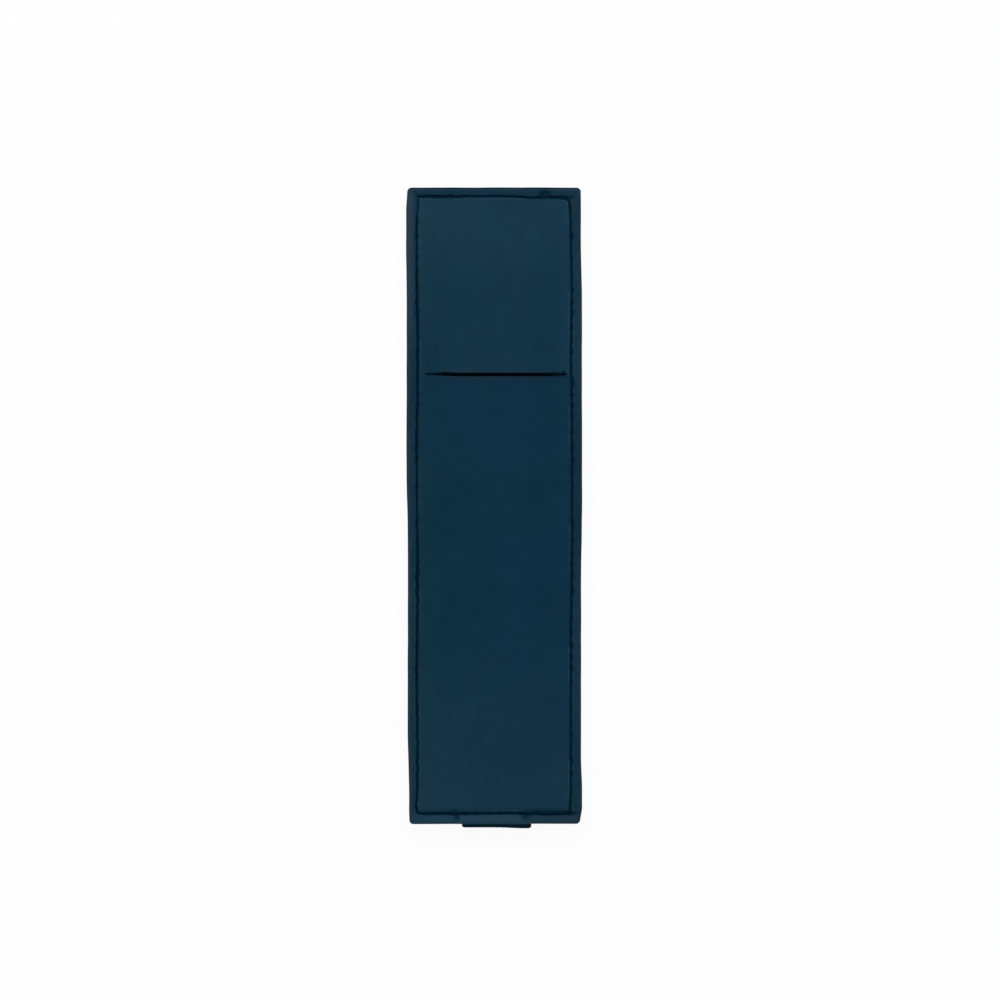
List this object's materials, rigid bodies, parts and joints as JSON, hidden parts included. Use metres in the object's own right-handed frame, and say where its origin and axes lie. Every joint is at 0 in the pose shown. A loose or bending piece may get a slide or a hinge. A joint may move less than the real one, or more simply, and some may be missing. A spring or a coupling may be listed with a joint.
{
  "type": "elastic pen pouch",
  "caption": "Slim stitched leather pen sleeve with a slit mouth across its front, strapped to a notebook by an elastic band sewn into its top and bottom seams.",
  "frame": {"origin": "on the table under the middle of the whole outline, with the pouch lying on its back on the elastic band", "axes": "+X across the pouch, to the right in the picture; +Y along it towards its top edge; +Z out of its front face"},
  "size_m": [0.0546, 0.2012, 0.0089],
  "materials": {
    "leather": "fine-grained semi-matte dark blue-green leather",
    "elastic": "woven elastic webbing, matte",
    "thread": "tonal polyester sewing thread",
    "greyboard": "plain grey bookbinding board",
    "lining_cloth": "plain woven dark lining cloth"
  },
  "bodies": {
    "band": {"band_run": "elastic"},
    "pouch": {"front_border": "leather", "back_panel": "leather", "back_board": "greyboard", "back_lining": "lining_cloth", "needle_thread": "thread", "bobbin_thread": "thread", "band_top_end": "elastic", "band_bottom_end": "elastic"},
    "lower_lip": {"lower_face": "leather"},
    "upper_lip": {"upper_face": "leather"}
  },
  "joints": [
    {"name": "band_stretch", "type": "slide", "parent": "band", "child": "pouch", "axis": [0, 0, 1], "range_m": [0, 0.012], "stiffness_N_per_m": 300, "springref_m": -0.003},
    {"name": "lower_lip_open", "type": "hinge", "parent": "pouch", "child": "lower_lip", "pos_m": [0, -0.0963, 0.0059], "axis": [1, 0, 0], "range_deg": [0, 4.5], "stiffness_Nm_per_rad": 0.3},
    {"name": "upper_lip_open", "type": "hinge", "parent": "pouch", "child": "upper_lip", "pos_m": [0, 0.0975, 0.0059], "axis": [-1, 0, 0], "range_deg": [0, 10], "stiffness_Nm_per_rad": 0.1}
  ]
}
